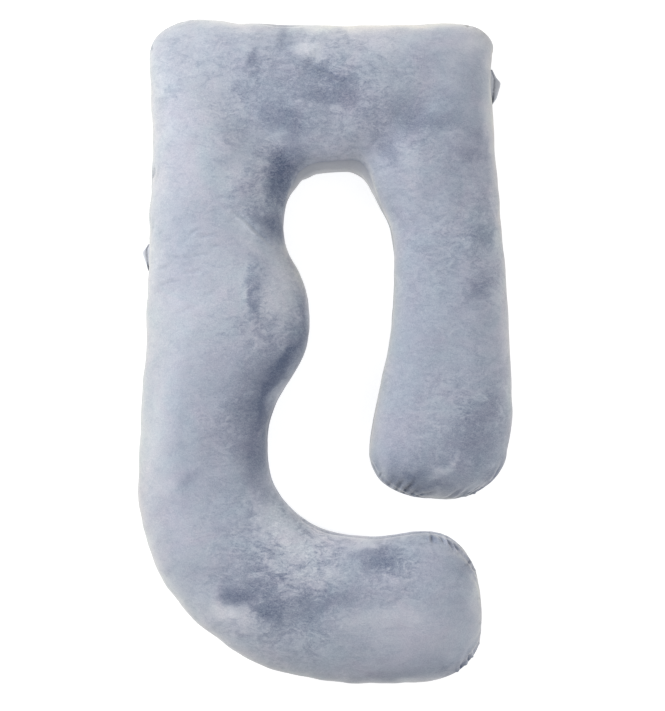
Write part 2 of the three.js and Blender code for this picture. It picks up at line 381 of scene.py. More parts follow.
def keep_size(piece):
    """Moves the points out, so that the rounded surface passes through where they were."""
    mesh = piece.data
    wanted = points_of(mesh)
    points = wanted.copy()
    rounder = piece.modifiers.new("Rounding", "SUBSURF")
    rounder.levels = 1
    rounder.render_levels = 1
    for _ in range(SIZE_ROUNDS):
        set_points(mesh, points)
        graph = bpy.context.evaluated_depsgraph_get()
        shown = points_of(piece.evaluated_get(graph).data)[:len(wanted)]
        points = points + wanted - shown
    piece.modifiers.clear()
    set_points(mesh, points)


def points_of(mesh):
    points = np.empty(len(mesh.vertices) * 3)
    mesh.vertices.foreach_get("co", points)
    return points.reshape(-1, 3)


def normals_of(mesh):
    normals = np.empty(len(mesh.vertices) * 3)
    mesh.vertices.foreach_get("normal", normals)
    return normals.reshape(-1, 3)


def edges_of(mesh):
    ends = np.empty(len(mesh.edges) * 2, dtype=np.int64)
    mesh.edges.foreach_get("vertices", ends)
    return ends.reshape(-1, 2)


def set_points(mesh, points):
    mesh.vertices.foreach_set("co", points.ravel())
    mesh.update()


def set_values(mesh, name, values):
    layer = mesh.attributes.get(name) or mesh.attributes.new(name, "FLOAT", "POINT")
    layer.data.foreach_set("value", values)


def smoothed(values, ends, rounds):
    """Evens out values over neighbouring points."""
    count = len(values)
    share = np.bincount(ends.ravel(), minlength=count)[:, None]
    for _ in range(rounds):
        total = np.zeros_like(values)
        for axis in range(values.shape[1]):
            total[:, axis] = (
                np.bincount(ends[:, 0], values[ends[:, 1], axis], count)
                + np.bincount(ends[:, 1], values[ends[:, 0], axis], count))
        values = 0.5 * values + 0.5 * total / share
    return values


def ramp(values, low, high):
    """0 below low, 1 above high, smooth between."""
    share = np.clip((values - low) / (high - low), 0.0, 1.0)
    return share * share * (3.0 - 2.0 * share)


def noise_at(points, scale, octaves=3, offset=(0.0, 0.0, 0.0)):
    """Soft random values round 0 at each point; scale is the size of a patch in metres."""
    shift = Vector(offset)
    return np.array([noise.fractal(Vector(p) / scale + shift, 1.0, 2.0, octaves) for p in points])


# ---------------------------------------------------------------- the cover's cloth


def edges_round(point, first):
    """The edges at a point of closed cloth, in turning order from one of them."""
    loop = next(corner for corner in first.link_loops if corner.vert == point)
    order = []
    while not order or loop.edge != first:
        order.append(loop.edge)
        loop = loop.link_loop_prev.link_loop_radial_next
    return order


def walk_section(start, first, side):
    """The points round one section of the tube and the diagonals beside them, or None at an end."""
    points, diagonals = [], set()
    point, edge = start, first
    while True:
        around = edges_round(point, edge)
        if len(around) != 6:
            return None
        points.append(point)
        diagonals.update((around[side], around[3 + side]))
        point = edge.other_vert(point)
        if point == start:
            return points, diagonals
        # straight on at the next point
        around = edges_round(point, edge)
        if len(around) != 6:
            return None
        edge = around[3]


def walk_seam(start, rail):
    """Each point along the outer seam from a start, with the rail edge that leads on from it."""
    steps = []
    point, edge = start, rail
    while True:
        steps.append((point, edge))
        point = edge.other_vert(point)
        around = edges_round(point, edge)
        if len(around) != 6:
            return steps
        edge = around[3]


def square_up(bm):
    """Turns the merged triangles back into the bands and sections the cover is laid out in."""
    on_seam = [v for v in bm.verts if abs(v.co.z - SEAM_HEIGHT) < 1e-5 and len(v.link_edges) == 6]
    start = max(on_seam, key=lambda v: v.co.x)
    rail = next(e for e in start.link_edges if abs(e.other_vert(start).co.z - SEAM_HEIGHT) < 1e-5)
    ahead = walk_seam(start, rail)
    behind = walk_seam(start, edges_round(start, rail)[3])
    around = [edges_round(point, edge) for point, edge in ahead]
    lengths = [sum(order[turn].calc_length() for order in around) for turn in (1, 2)]
    turn = 1 if lengths[0] < lengths[1] else 2
    side = 1 if turn == 1 else -1

    sections, diagonals = [], set()
    for steps, across in ((behind[:0:-1], turn + 3), (ahead, turn)):
        for point, edge in steps:
            walked = walk_section(point, edges_round(point, edge)[across], side)
            if walked:
                sections.append(walked[0])
                diagonals |= walked[1]
    return sections, diagonals


def cover_cloth():
    """The cover's two panels as even four-sided faces, with the lower panel marked."""
    bm = bmesh.new()
    bm.from_mesh(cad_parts["pillow_body"].data)
    bmesh.ops.remove_doubles(bm, verts=bm.verts, dist=1e-5)
    sections, diagonals = square_up(bm)
    turn_of = {point: turn for section in sections for turn, point in enumerate(section)}
    bmesh.ops.dissolve_edges(bm, edges=list(diagonals), use_verts=False)

    # each closed end becomes one face, and then a fan round its middle
    ends = [face for face in bm.faces if len(face.verts) == 3]
    between = sum(face.calc_center_median().y for face in ends) / len(ends)
    short_leg = [face for face in ends if face.calc_center_median().y > between]
    foot = [face for face in ends if face.calc_center_median().y <= between]
    for group in (short_leg, foot):
        closed = bmesh.ops.dissolve_faces(bm, faces=group, use_verts=False)["region"]
        bmesh.ops.poke(bm, faces=closed)

    under = bm.faces.layers.float.new("under_panel")
    half = len(sections[0]) // 2
    first_half_is_top = sections[0][half // 2].co.z > SEAM_HEIGHT
    for face in bm.faces:
        turns = [turn_of[point] for point in face.verts if point in turn_of]
        if len(turns) >= 2:
            in_first_half = max(turns) <= half and not (0 in turns and max(turns) > half)
            face[under] = float(in_first_half != first_half_is_top)
        else:
            face[under] = float(face.calc_center_median().z < SEAM_HEIGHT)
    bm.normal_update()
    return bm


# ---------------------------------------------------------------- where the cloth folds and the pile turns

# Folds in the cloth, in plan, in millimetres: where each starts, the way it runs in degrees, how long,
# how wide and how deep it is. A depth under 0 is a ridge.
Fold = namedtuple("Fold", "x y heading length width depth")

# gathers start at the seam and die away inwards
GATHERS = [
    # short leg's end
    Fold(107, -253, -66, 24, 2.6, 3.5), Fold(119, -272, 64, 19, 3.0, 2.5),
    Fold(129, -288, 60, 30, 3.5, -2.0), Fold(138, -294, 62, 30, 3.0, 3.0),
    Fold(147, -299, 60, 40, 3.4, -3.5), Fold(154, -302, 60, 35, 3.0, 4.5),
    Fold(163, -305, 58, 49, 3.4, -4.5), Fold(172, -307, 55, 51, 3.0, 6.5),
    Fold(181, -309, 52, 32, 3.4, -2.0), Fold(190, -310, 44, 32, 3.2, 2.5),
    Fold(198, -311, 35, 38, 3.0, -3.0), Fold(206, -311, 34, 27, 3.2, 2.0),
    Fold(227, -306, 30, 16, 3.0, 3.0), Fold(262, -320, 40, 51, 3.4, 2.5),
    Fold(270, -321, 39, 65, 3.0, -4.0), Fold(280, -321, 39, 46, 3.4, 2.5),
    Fold(290, -320, 38, 49, 3.2, -2.5), Fold(299, -319, 37, 46, 3.0, 5.5),
    Fold(308, -317, 42, 46, 3.2, -3.0), Fold(315, -314, 44, 38, 3.2, 3.5),
    Fold(324, -312, 47, 68, 3.0, -4.5), Fold(333, -308, 50, 38, 3.4, 2.5),
    Fold(345, -300, 58, 62, 4.0, -2.5), Fold(354, -294, 60, 30, 3.4, 2.5),
    Fold(376, -262, 70, 32, 5.0, 2.0),
    # foot's end
    Fold(221, -398, -76, 27, 3.4, -2.5), Fold(230, -399, -80, 19, 3.0, 5.5),
    Fold(240, -400, -74, 30, 3.4, -2.5), Fold(250, -403, -70, 24, 3.0, 3.5),
    Fold(258, -406, -66, 30, 3.2, -3.0), Fold(267, -411, -66, 27, 3.0, 5.5),
    Fold(275, -415, -60, 32, 3.2, -3.0), Fold(300, -441, -140, 27, 3.4, -2.5),
    Fold(313, -461, -152, 24, 3.0, 5.5), Fold(322, -482, -170, 32, 6.0, -3.5),
    Fold(338, -540, 178, 24, 4.0, 2.0), Fold(341, -594, 172, 14, 2.6, 3.0),
    Fold(334, -640, 165, 30, 5.0, -2.0), Fold(321, -664, 110, 30, 3.2, -3.0),
    Fold(314, -678, 82, 24, 3.0, 5.5), Fold(306, -683, 84, 30, 3.2, -3.5),
    Fold(297, -691, 80, 22, 3.0, 5.0), Fold(289, -696, 84, 32, 3.4, -3.0),
    Fold(259, -711, 74, 16, 3.0, 3.0),
    # long leg's outer side
    Fold(-385, 337, 4, 16, 2.8, 5.0), Fold(-385, 325, 8, 20, 4.0, -2.5), Fold(-385, 306, 8, 14, 2.8, 4.5),
    Fold(-386, 316, 8, 20, 4.0, -2.0), Fold(-383, 372, -6, 16, 3.4, 2.5), Fold(-389, 268, 14, 22, 4.5, 2.0),
    Fold(-391, 150, 4, 20, 5.0, 1.5),
    # the crossbar's corners
    Fold(-295, 733, -88, 24, 10.0, -3.5), Fold(-318, 724, -64, 24, 5.0, 3.5),
    Fold(-385, 664, -18, 30, 4.0, 4.0), Fold(-386, 676, -14, 24, 5.0, -2.5),
    Fold(310, 706, -118, 26, 4.5, 4.0), Fold(345, 692, -135, 24, 5.0, 2.0),
    Fold(366, 640, -172, 22, 5.0, 2.0),
]

# wrinkles lie on the panels and die away at both ends
WRINKLES = [
    # beside the outer seam of the long leg
    Fold(-367, 402, -113, 36, 2.8, 4.5), Fold(-360, 401, -113, 40, 3.4, -2.5),
    Fold(-378, 298, -107, 34, 2.8, 4.0), Fold(-372, 294, -109, 56, 3.6, -3.5),
    # drawn across the long leg
    Fold(-259, 292, 17, 58, 3.0, 2.2), Fold(-297, 246, 25, 44, 3.0, 2.0), Fold(-270, 241, 13, 40, 3.0, 1.8),
    Fold(-367, 254, 15, 26, 2.8, 1.8), Fold(-337, 199, 2, 58, 3.0, 1.7), Fold(-292, 200, 10, 56, 3.0, 1.4),
    Fold(-372, 176, 14, 40, 3.0, 2.0), Fold(-310, 165, 8, 58, 3.0, 1.7), Fold(-361, 141, 14, 56, 3.0, 2.0),
    Fold(-244, 222, 19, 22, 3.0, 1.6), Fold(-328, 78, 15, 60, 3.2, 1.3), Fold(-370, 86, 14, 34, 3.0, 1.3),
    Fold(-262, 118, 18, 42, 3.2, 1.2), Fold(-300, 306, 10, 60, 3.4, 1.2), Fold(-350, 20, 12, 52, 3.4, 1.0),
    # across the short leg
    Fold(250, 405, 2, 102, 3.6, 1.8), Fold(253, 392, -2, 50, 3.6, 1.5), Fold(243, 249, -2, 96, 3.4, 2.0),
    Fold(262, 300, -4, 80, 4.5, 1.2), Fold(270, 140, 4, 70, 4.5, 1.0),
    # from the long leg's outer side to the narrow of the opening, and over the crossbar
    Fold(-213, 308, -43, 139, 3.0, -1.8), Fold(-207, 314, -43, 139, 3.6, 1.8),
    Fold(-36, 617, -28, 104, 3.2, 2.2), Fold(-100, 672, -52, 46, 3.2, 1.6),
    Fold(-176, 610, -40, 60, 3.6, 1.4),
    # under the crossbar's upper edge
    Fold(-153, 711, -1, 118, 3.2, 2.6),
    # along the rim of the foot's end
    Fold(273, -413, -50, 30, 2.8, 5.0), Fold(319, -470, -63, 26, 2.6, 4.5),
    Fold(224, -411, -17, 32, 3.2, 2.5), Fold(260, -510, 12, 34, 3.5, 1.5),
]

# Stretches of the seam where the thread draws the cloth in most: the middle, how far it reaches, and how
# much of the full gathering it has.
Stretch = namedtuple("Stretch", "x y reach share")
STRETCHES = [
    Stretch(-388, 300, 170, 0.45), Stretch(395, 330, 200, 0.35), Stretch(250, -310, 150, 0.3),
    Stretch(330, -600, 120, 0.3), Stretch(340, 700, 90, 0.35), Stretch(-360, 700, 90, 0.3),
]

# How the pile is brushed, together with painted light and painted shade, in plan, in millimetres: the middle
# of each stroke, the way it runs in degrees, half its length and width, and its shade from -1, dark, to 1,
# light.
Stroke = namedtuple("Stroke", "x y heading length width shade")
STROKES = [
    # crossbar, with painted light along its upper edge
    Stroke(-91, 685, 80, 38, 19, -0.5), Stroke(-156, 632, 60, 26, 14, -0.5),
    Stroke(14, 599, -35, 66, 31, -0.44), Stroke(-111, 515, -35, 64, 32, -0.45),
    Stroke(0, 540, -10, 85, 22, -0.35), Stroke(182, 515, -10, 84, 40, -0.3),
    Stroke(131, 644, -20, 44, 28, 0.25), Stroke(131, 708, 0, 180, 18, 0.5), Stroke(15, 699, 0, 46, 11, 0.4),
    Stroke(131, 440, -60, 50, 16, -0.3),
    # left side: painted light, broad and pale where the light falls from the left
    Stroke(-277, 489, 88, 210, 62, 0.3), Stroke(-244, 136, 80, 130, 66, 0.25),
    Stroke(-340, 0, 90, 500, 30, 0.1),
    # below the left of the arch, and the belly: dark patches of pile, with painted shade on the slopes turned
    # from the light
    Stroke(-92, 385, 72, 84, 33, -0.74), Stroke(-105, 264, -50, 38, 24, -0.8),
    Stroke(-166, 250, -44, 60, 17, 0.45), Stroke(-200, 379, 60, 42, 24, 0.3),
    Stroke(-78, 202, -60, 16, 9, -0.5), Stroke(-151, 125, 90, 60, 12, -0.45),
    Stroke(-98, 140, 85, 84, 30, 0.5), Stroke(-47, 70, 95, 50, 10, -0.45),
    Stroke(-62, 10, 60, 42, 20, -0.6), Stroke(-98, -44, 45, 48, 27, -0.75),
    Stroke(-146, -165, 86, 125, 32, -0.8), Stroke(-190, -110, 80, 90, 34, -0.25),
    # curl and foot
    Stroke(-295, -283, 30, 22, 15, -0.3), Stroke(-339, -475, 0, 18, 11, -0.35),
    Stroke(-195, -508, -30, 36, 22, -0.7), Stroke(-120, -556, -20, 38, 22, -0.7),
    Stroke(-12, -548, 8, 84, 34, -0.5), Stroke(116, -446, 12, 44, 20, -0.6),
    Stroke(235, -409, -15, 26, 11, -0.5), Stroke(297, -471, -50, 24, 15, -0.3),
    Stroke(160, -700, 3, 150, 14, -0.35), Stroke(-40, -460, -28, 74, 34, 0.4),
    Stroke(87, -416, -5, 32, 13, 0.35), Stroke(-100, -378, -48, 90, 26, 0.45),
    Stroke(180, -600, 0, 120, 52, 0.25), Stroke(-270, -420, -60, 130, 30, 0.12),
    # short leg
    Stroke(336, 471, 20, 32, 28, -0.35), Stroke(319, 423, 0, 50, 13, -0.35),
    Stroke(341, 257, 10, 38, 25, -0.36), Stroke(346, 136, 30, 40, 26, -0.36),
    Stroke(330, -155, 50, 70, 44, -0.35), Stroke(127, -283, -40, 36, 17, -0.5),
    Stroke(185, -282, -12, 64, 22, -0.6), Stroke(255, -245, 51, 34, 9, 0.5),
    Stroke(270, -300, -5, 70, 14, -0.25),
    # evening out: painted light and painted shade, with some patches of pile, in places that the strokes
    # above leave lighter or darker than the real pillow; many lie along the rims and edges
    Stroke(131, 668, 0, 170, 24, 0.2), Stroke(-67, 379, 70, 30, 14, -0.2),
    Stroke(-96, 300, 85, 60, 14, -0.3), Stroke(-150, 268, 20, 36, 16, -0.25),
    Stroke(-80, -8, 40, 40, 16, -0.3), Stroke(-98, -63, 50, 34, 14, -0.4),
    Stroke(-130, -145, 88, 60, 12, -0.4), Stroke(-128, -228, 88, 34, 12, -0.25),
    Stroke(280, -250, 10, 150, 60, -0.25), Stroke(385, -240, 65, 70, 18, -0.35),
    Stroke(160, -262, -30, 50, 30, -0.2), Stroke(215, 490, 0, 90, 26, -0.2),
    Stroke(-34, 489, 0, 40, 16, -0.2), Stroke(182, 385, 90, 70, 18, 0.15),
    Stroke(312, 130, 60, 50, 20, -0.15), Stroke(200, -672, 5, 60, 16, -0.12),
    Stroke(48, -562, 0, 60, 22, 0.18), Stroke(-365, -220, 92, 130, 30, 0.18),
    Stroke(-300, 48, 80, 60, 60, 0.15), Stroke(-200, 158, 70, 44, 30, 0.13),
    Stroke(-265, 379, 0, 40, 22, 0.16), Stroke(-250, 434, 0, 60, 24, 0.1),
    Stroke(362, 480, 90, 80, 12, 0.2), Stroke(-30, 585, -8, 110, 46, -0.16),
    Stroke(200, 560, -4, 120, 34, 0.12), Stroke(-133, 530, 0, 30, 24, 0.22),
    Stroke(-90, 440, 0, 36, 22, 0.16), Stroke(362, 400, 90, 160, 14, 0.16),
    Stroke(-165, 160, 85, 50, 14, 0.14), Stroke(-165, -170, 88, 70, 16, 0.12),
    Stroke(-20, -560, 0, 190, 26, 0.16), Stroke(-30, -490, -8, 60, 16, -0.14),
    Stroke(-300, -90, 88, 190, 40, 0.08), Stroke(370, 60, 88, 120, 18, 0.12),
    Stroke(-118, -118, 80, 70, 16, -0.24), Stroke(131, -255, 80, 50, 18, -0.24),
    Stroke(392, -175, 80, 50, 14, -0.28), Stroke(363, -280, 50, 44, 18, -0.26),
    Stroke(-45, -452, -10, 44, 18, -0.2), Stroke(266, 546, 0, 44, 22, -0.2),
    Stroke(-117, 490, 0, 30, 20, -0.16), Stroke(146, 300, -60, 50, 14, -0.2),
    Stroke(-167, 655, 0, 30, 20, 0.18), Stroke(-167, 130, 88, 46, 14, 0.18),
    Stroke(395, 45, 88, 40, 12, 0.16), Stroke(366, 489, 88, 30, 14, 0.18),
    Stroke(146, -562, 0, 70, 18, 0.16), Stroke(-262, -370, 70, 60, 34, 0.13),
    Stroke(110, -712, 4, 110, 10, -0.2), Stroke(-345, -200, 90, 140, 24, 0.1),
    Stroke(-190, -562, -8, 70, 22, 0.22), Stroke(-134, 352, 85, 50, 16, 0.26),
    Stroke(-10, -396, -6, 50, 10, 0.2), Stroke(385, 120, 88, 60, 14, 0.22),
    Stroke(170, -285, -10, 60, 16, 0.16), Stroke(-148, -283, 80, 30, 16, 0.14),
    Stroke(-134, -66, 85, 36, 14, 0.16), Stroke(-365, -100, 90, 70, 18, 0.1),
    Stroke(-300, -505, -50, 50, 24, 0.12), Stroke(60, 714, 0, 200, 10, 0.12),
    Stroke(-30, 642, -10, 34, 22, 0.75), Stroke(372, 261, 88, 50, 14, 0.32),
    Stroke(27, 602, -10, 34, 18, 0.38), Stroke(331, -505, 82, 40, 16, 0.36),
    Stroke(-214, -554, -32, 46, 26, 0.56), Stroke(322, 676, 40, 52, 32, 0.42),
    Stroke(338, 652, 10, 66, 30, 0.32), Stroke(284, -676, 27, 50, 20, -0.7),
    Stroke(-142, -505, -15, 46, 20, -0.48), Stroke(-114, 23, 85, 50, 18, -0.26),
    Stroke(248, 706, 0, 120, 14, 0.36), Stroke(-116, 300, 85, 34, 16, 0.26),
    Stroke(189, 467, 0, 44, 22, -0.24), Stroke(-112, -473, -20, 44, 18, -0.24),
    Stroke(-200, 710, 0, 60, 14, 0.24), Stroke(328, -297, 30, 40, 18, -0.2),
    Stroke(-70, -436, -20, 44, 18, -0.2), Stroke(352, 522, 88, 40, 18, 0.18),
    Stroke(389, -131, 88, 44, 14, 0.2),
]

# Where the plush is crushed, so that it mottles: the middle, how far it reaches, and how much.
Crush = namedtuple("Crush", "x y reach amount")
CRUSHES = [
    Crush(10, 590, 190, 0.9), Crush(-110, 350, 110, 1.1), Crush(-100, 90, 130, 1.0),
    Crush(-60, -420, 130, 1.6), Crush(-90, -545, 150, 1.0), Crush(140, -440, 90, 0.9),
    Crush(-150, -150, 110, 0.6), Crush(345, 240, 170, 0.6), Crush(320, -160, 140, 0.7),
    Crush(-200, 560, 170, 0.75), Crush(180, 450, 120, 0.5), Crush(210, -290, 90, 0.6),
]


WAVER = 3.0 * MM        # how far a fold may leave its straight line
BROAD_DRIFT = 0.020     # how far the edge of a stroke may wander, in broad patches
FINE_DRIFT = 0.007      # and in fine ones


def along_and_across(points, feature):
    """Each point's place along a fold or stroke and to its side, in metres."""
    heading = math.radians(feature.heading)
    out = points[:, :2] - np.array([feature.x, feature.y]) * MM
    along = out[:, 0] * math.cos(heading) + out[:, 1] * math.sin(heading)
    across = out[:, 1] * math.cos(heading) - out[:, 0] * math.sin(heading)
    return along, across


def fold_height(points, folds, from_seam):
    """How far the folds sink each point, in metres, and the painted shading there: painted shade in each
    crease and painted light on each ridge.
    """
    waver = noise_at(points, 0.03, 2, (3.1, 0.0, 0.0)) * WAVER
    sunk = np.zeros(len(points))
    parted = np.zeros(len(points))
    for fold in folds:
        along, across = along_and_across(points, fold)
        way = along / (fold.length * MM)
        width = fold.width * MM
        if from_seam:
            strength = np.clip(1.0 - way, 0.0, 1.0) ** 1.3 * ramp(way, -0.9, -0.3)
            width = width * (0.75 + 0.7 * np.clip(way, 0.0, 1.0))
        else:
            strength = np.sin(math.pi * np.clip(way, 0.0, 1.0))
        side = np.abs(across + waver) / width
        valley = np.exp(-side ** 2) - 0.35 * np.exp(-((side - 1.9) / 0.9) ** 2)
        sunk += fold.depth * MM * strength * valley
        parted += fold.depth * strength * np.exp(-(side * 1.15) ** 2)
    return sunk, parted


def drifted_in_plan(points):
    """Each point's place in plan, moved about so that no stroke has an even edge."""
    broad, fine = 0.060, 0.014
    drift_x = noise_at(points, broad, 2) * BROAD_DRIFT
    drift_x += noise_at(points, fine, 2, (7.0, 0.0, 0.0)) * FINE_DRIFT
    drift_y = noise_at(points, broad, 2, (0.0, 5.0, 0.0)) * BROAD_DRIFT
    drift_y += noise_at(points, fine, 2, (0.0, 9.0, 0.0)) * FINE_DRIFT
    return points[:, :2] + np.stack([drift_x, drift_y], axis=1)


def brushed(points):
    """How dark or light the pile lies at each point, with painted light and shade in it, from -1 to 1, and
    how crushed it is, from 0 to 1.
    """
    drifted = drifted_in_plan(points)
    shade = np.zeros(len(points))
    for stroke in STROKES:
        along, across = along_and_across(drifted, stroke)
        reach = (along / (stroke.length * MM)) ** 2 + (across / (stroke.width * MM)) ** 2
        shade += stroke.shade * np.exp(-reach ** 1.3)
    crushed = np.zeros(len(points))
    for crush in CRUSHES:
        away = np.hypot(drifted[:, 0] - crush.x * MM, drifted[:, 1] - crush.y * MM) / (crush.reach * MM)
        crushed = np.maximum(crushed, crush.amount * np.exp(-away ** 2))
    upper = ramp(points[:, 2], 0.02, 0.07)
    return np.clip(shade * upper, -1.0, 1.0), crushed * upper


def seam_points(mesh):
    """Which points lie between the upper panel and the lower one."""
    under = np.empty(len(mesh.polygons))
    mesh.attributes["under_panel"].data.foreach_get("value", under)
    corners = np.empty(len(mesh.loops), dtype=np.int64)
    mesh.loops.foreach_get("vertex_index", corners)
    sizes = np.empty(len(mesh.polygons), dtype=np.int64)
    mesh.polygons.foreach_get("loop_total", sizes)
    panel = np.repeat(under > 0.5, sizes)
    below = np.zeros(len(mesh.vertices), dtype=bool)
    above = np.zeros(len(mesh.vertices), dtype=bool)
    below[corners[panel]] = True
    above[corners[~panel]] = True
    return below & above


def distance_to(points, targets):
    """Each point's distance to the nearest of some others."""
    tree = kdtree.KDTree(len(targets))
    for index, target in enumerate(targets):
        tree.insert(Vector(target), index)
    tree.balance()
    return np.array([tree.find(Vector(point))[2] for point in points])


BASE_GATHER = 0.12      # share of the full gathering that the whole seam has
GATHER_REACH = 0.022    # how far from the seam its thread draws the cloth in
FOLD_REACH = 0.07       # how far from the seam its folds still stand
LAST_FRAME = 20         # frames for which the filling presses
FOLD_ROUNDS = 14        # evening out that leaves the shape of a move and takes away its folds


def stuff(piece, cover):
    """Presses the cover out with its filling, and keeps the small folds that the seam's thread gathers."""
    mesh = piece.data
    base = points_of(mesh)
    ends = edges_of(mesh)
    seam = base[seam_points(mesh)]
    share = np.full(len(base), BASE_GATHER)
    for stretch in STRETCHES:
        away = np.hypot(base[:, 0] - stretch.x * MM, base[:, 1] - stretch.y * MM) / (stretch.reach * MM)
        share = np.maximum(share, stretch.share * (1.0 - ramp(away, 0.5, 1.0)))
    gap = distance_to(base, seam)
    drawn = share * np.exp(-(gap / GATHER_REACH) ** 2)
    gathered = piece.vertex_groups.new(name="gathered")
    for index, weight in enumerate(drawn):
        gathered.add([index], float(weight), "REPLACE")
    lying = piece.vertex_groups.new(name="lying")
    lying.add([int(index) for index in np.flatnonzero(base[:, 2] < MM)], 1.0, "REPLACE")
    set_points(mesh, base - normals_of(mesh) * cover.slack)

    filling = piece.modifiers.new("Filling", "CLOTH")
    cloth = filling.settings
    cloth.quality = 4
    cloth.mass = 0.3
    cloth.use_pressure = True
    cloth.uniform_pressure_force = cover.filling_pressure
    cloth.tension_stiffness = 12
    cloth.compression_stiffness = 12
    cloth.shear_stiffness = 4
    cloth.bending_stiffness = 0.12
    cloth.vertex_group_shrink = gathered.name
    cloth.shrink_min = 0.0
    cloth.shrink_max = cover.seam_shrink
    cloth.vertex_group_mass = lying.name
    cloth.pin_stiffness = 1.0
    cloth.effector_weights.gravity = 0.0
    filling.collision_settings.use_collision = False
    filling.collision_settings.use_self_collision = False
    filling.point_cache.frame_start = 1
    filling.point_cache.frame_end = LAST_FRAME
    scene = bpy.context.scene
    for number in range(1, LAST_FRAME + 1):
        scene.frame_set(number)
    bake_modifiers(piece)
    scene.frame_set(1)
    piece.vertex_groups.clear()

    # the shape stays; only the folds in it are kept, and none where an end closes on itself
    move = points_of(piece.data) - base
    folds = move - smoothed(move, ends, FOLD_ROUNDS)
    length = np.linalg.norm(folds, axis=1, keepdims=True)
    folds *= np.minimum(1.0, cover.most_move / np.maximum(length, 1e-9))
    poles = np.array([tip_of(base, 1), tip_of(base, -1)])
    folds *= ramp(distance_to(base, poles), 0.02, 0.07)[:, None]
    folds *= (0.2 + 0.8 * share * np.exp(-(gap / FOLD_REACH) ** 2))[:, None]
    points = base + folds * cover.fold_gain
    points[:, 2] = np.maximum(points[:, 2], 0.0)
    set_points(piece.data, points)


def tip_of(points, leg):
    """The middle of a closed end: leg 1 is the short leg's, and -1 is the foot's."""
    if leg > 0:
        near = points[(points[:, 0] > 0.05) & (points[:, 1] > -0.35) & (points[:, 1] < -0.2)]
        return near[near[:, 1].argmin()]
    near = points[points[:, 1] < -0.38]
    return near[near[:, 0].argmax()]


# Where the cloth is divided more finely: the middle, how far it reaches, how far inwards from the seam,
# and into how many parts less one each edge is cut.
Finer = namedtuple("Finer", "x y reach inwards cuts")
FINER = [
    Finer(250, -290, 165, 48, 2), Finer(315, -560, 160, 36, 2), Finer(-385, 330, 100, 34, 1),
    Finer(-330, 690, 80, 34, 1), Finer(340, 690, 60, 34, 1), Finer(-290, 190, 118, 200, 1),
    Finer(-160, 262, 66, 200, 1), Finer(-10, 605, 80, 200, 1),
]


def make_finer(piece):
    """Divides the faces beside the seam where its gathers are narrow."""
    bm = bmesh.new()
    bm.from_mesh(piece.data)
    under = bm.faces.layers.float["under_panel"]
    seam = [v.co.copy() for v in bm.verts if len({f[under] > 0.5 for f in v.link_faces}) == 2]
    tree = kdtree.KDTree(len(seam))
    for index, point in enumerate(seam):
        tree.insert(point, index)
    tree.balance()
    for place in FINER:
        middle = Vector((place.x * MM, place.y * MM))
        near = {v for v in bm.verts if (v.co.xy - middle).length < place.reach * MM
                and v.co.z > 0.06 and tree.find(v.co)[2] < place.inwards * MM}
        edges = [e for e in bm.edges if e.verts[0] in near and e.verts[1] in near]
        bmesh.ops.subdivide_edges(
            bm, edges=edges, cuts=place.cuts, use_grid_fill=True, smooth=1.0, smooth_falloff="LINEAR",
            use_smooth_even=True)
    bm.to_mesh(piece.data)
    bm.free()
    piece.data.update()


ROW_SHARE = 0.45                # how much of the way to the seam the rows beside it close in
ROW_STEP = 2.4 * MM             # past which a row is too far from the seam to be drawn to it
HOOK_MIDDLE = (0.03, -0.02)     # a point in the middle of the sleeper's space
ARCH_MIDDLE = 0.01              # how far to the right the top of that space has its middle


def close_rows(points, ends, on_seam):
    """Moves the rows beside the seam in on it, so that its groove is narrow."""
    for near, far in ((0, 1), (1, 0)):
        beside = on_seam[ends[:, near]] & ~on_seam[ends[:, far]]
        sewn = points[ends[beside, near]]
        row = ends[beside, far]
        step = (sewn - points[row]) * ROW_SHARE
        step[np.linalg.norm(step, axis=1) > ROW_STEP] = 0.0
        points[row] += step


def sides(points, normals):
    """How much painted rim light each point gets: a cream cast on the sides, where short pile pales at a
    grazing angle, and more on the upper left, which faces the light.
    """
    # painted rim light: least where the sides face into the hook from the long leg, and most at the upper
    # left
    outwards = points[:, :2] - HOOK_MIDDLE
    turned_out = (outwards * normals[:, :2]).sum(axis=1) / np.linalg.norm(outwards, axis=1)
    short_leg = ramp(points[:, 0], 0.05, 0.09) * ramp(points[:, 1], -0.36, -0.33)
    inwards = ramp(-turned_out, 0.1, 0.5) * (1.0 - short_leg)
    upper_left = ramp(normals[:, 1] * 0.4 - normals[:, 0] * 0.9, 0.1, 0.7) * ramp(turned_out, 0.05, 0.4)
    sideways = (1.0 - ramp(np.abs(normals[:, 2]), 0.05, 0.95)) * (1.0 - 0.85 * inwards)
    return sideways + 0.38 * upper_left


